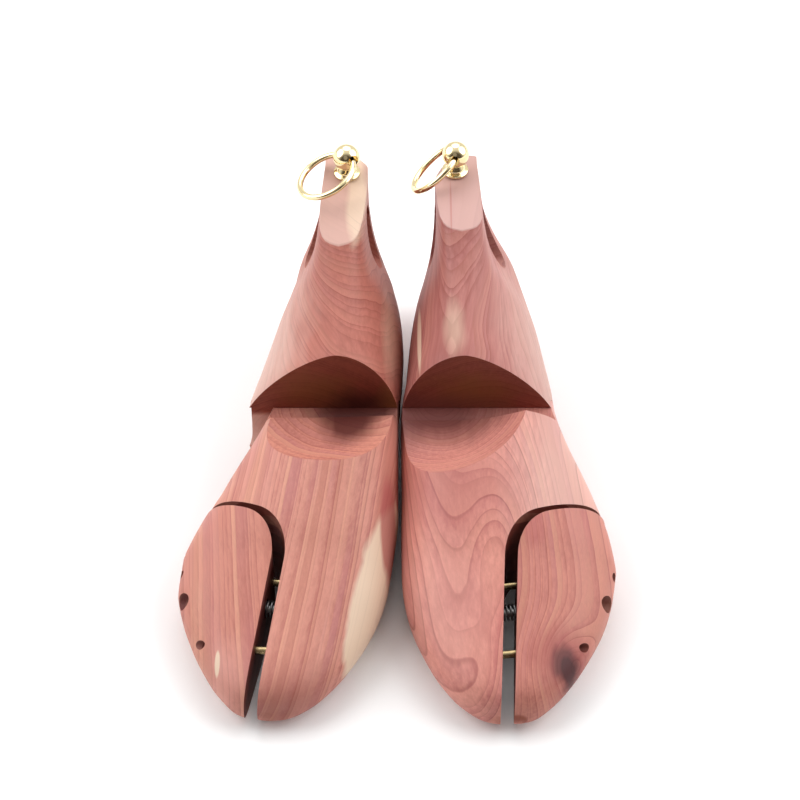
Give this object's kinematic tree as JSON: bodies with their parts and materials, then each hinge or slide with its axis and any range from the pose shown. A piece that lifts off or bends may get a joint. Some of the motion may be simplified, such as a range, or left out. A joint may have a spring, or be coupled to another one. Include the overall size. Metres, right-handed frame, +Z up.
{
  "type": "shoe tree",
  "caption": "Hinged cedar shoe trees, left and right, with split toes spread by a spring, a finger slot through each neck and a brass ball knob with a pull ring.",
  "frame": {"origin": "bottom centre of the pair's bounding box, on the floor", "axes": "toes to -Y, heels to +Y, +Z up; the wearer's left tree is at +X and the right tree at -X"},
  "size_m": [0.1924, 0.273, 0.117],
  "materials": {
    "cedar": "unvarnished aromatic cedar, sanded satin, lengthwise grain",
    "brass": "polished and lacquered",
    "steel": "zinc plated, dull"
  },
  "bodies": {
    "left_forefoot": {"left_forefoot_block": "cedar", "left_guide_pin_front": "brass", "left_guide_pin_rear": "brass", "left_toe_bolt": "steel", "left_bolt_washer": "steel", "left_toe_spring": "steel", "left_hinge_pin": "steel"},
    "left_toe": {"left_toe_wing": "cedar"},
    "left_heel": {"left_heel_block": "cedar", "left_hinge_plate": "steel", "left_cross_pin_front": "steel", "left_cross_pin_rear": "steel", "left_knob": "brass", "left_knob_screw": "steel"},
    "left_pull_ring": {"left_ring": "brass"},
    "right_forefoot": {"right_forefoot_block": "cedar", "right_guide_pin_front": "brass", "right_guide_pin_rear": "brass", "right_toe_bolt": "steel", "right_bolt_washer": "steel", "right_toe_spring": "steel", "right_hinge_pin": "steel"},
    "right_toe": {"right_toe_wing": "cedar"},
    "right_heel": {"right_heel_block": "cedar", "right_hinge_plate": "steel", "right_cross_pin_front": "steel", "right_cross_pin_rear": "steel", "right_knob": "brass", "right_knob_screw": "steel"},
    "right_pull_ring": {"right_ring": "brass"}
  },
  "joints": [
    {"name": "left_heel_fold", "type": "hinge", "parent": "left_forefoot", "child": "left_heel", "pos_m": [0.03743, 0.0155, 0.031], "axis": [1, 0, 0], "range_deg": [0, 30]},
    {"name": "left_toe_slide", "type": "slide", "parent": "left_forefoot", "child": "left_toe", "axis": [0.9945, 0.1045, 0], "range_m": [-0.0045, 0], "stiffness_N_per_m": 1800, "springref_m": 0.003, "deforming": ["left_toe_spring"]},
    {"name": "left_ring_swing", "type": "hinge", "parent": "left_heel", "child": "left_pull_ring", "pos_m": [0.02735, 0.11867, 0.11062], "axis": [-0.1561, -0.9853, 0.0698], "range_deg": [-110, 0]},
    {"name": "right_heel_fold", "type": "hinge", "parent": "right_forefoot", "child": "right_heel", "pos_m": [-0.03557, 0.0155, 0.031], "axis": [1, 0, 0], "range_deg": [0, 30]},
    {"name": "right_toe_slide", "type": "slide", "parent": "right_forefoot", "child": "right_toe", "axis": [-0.9945, 0.1045, 0], "range_m": [-0.0045, 0], "stiffness_N_per_m": 1800, "springref_m": 0.003, "deforming": ["right_toe_spring"]},
    {"name": "right_ring_swing", "type": "hinge", "parent": "right_heel", "child": "right_pull_ring", "pos_m": [-0.02449, 0.11829, 0.10927], "axis": [0.561, -0.8013, 0.2079], "range_deg": [-110, 0]},
    {"name": "right_tree_lift", "type": "slide", "parent": "left_forefoot", "child": "right_forefoot", "axis": [0, 0, 1], "range_m": [0, 0.2]}
  ]
}
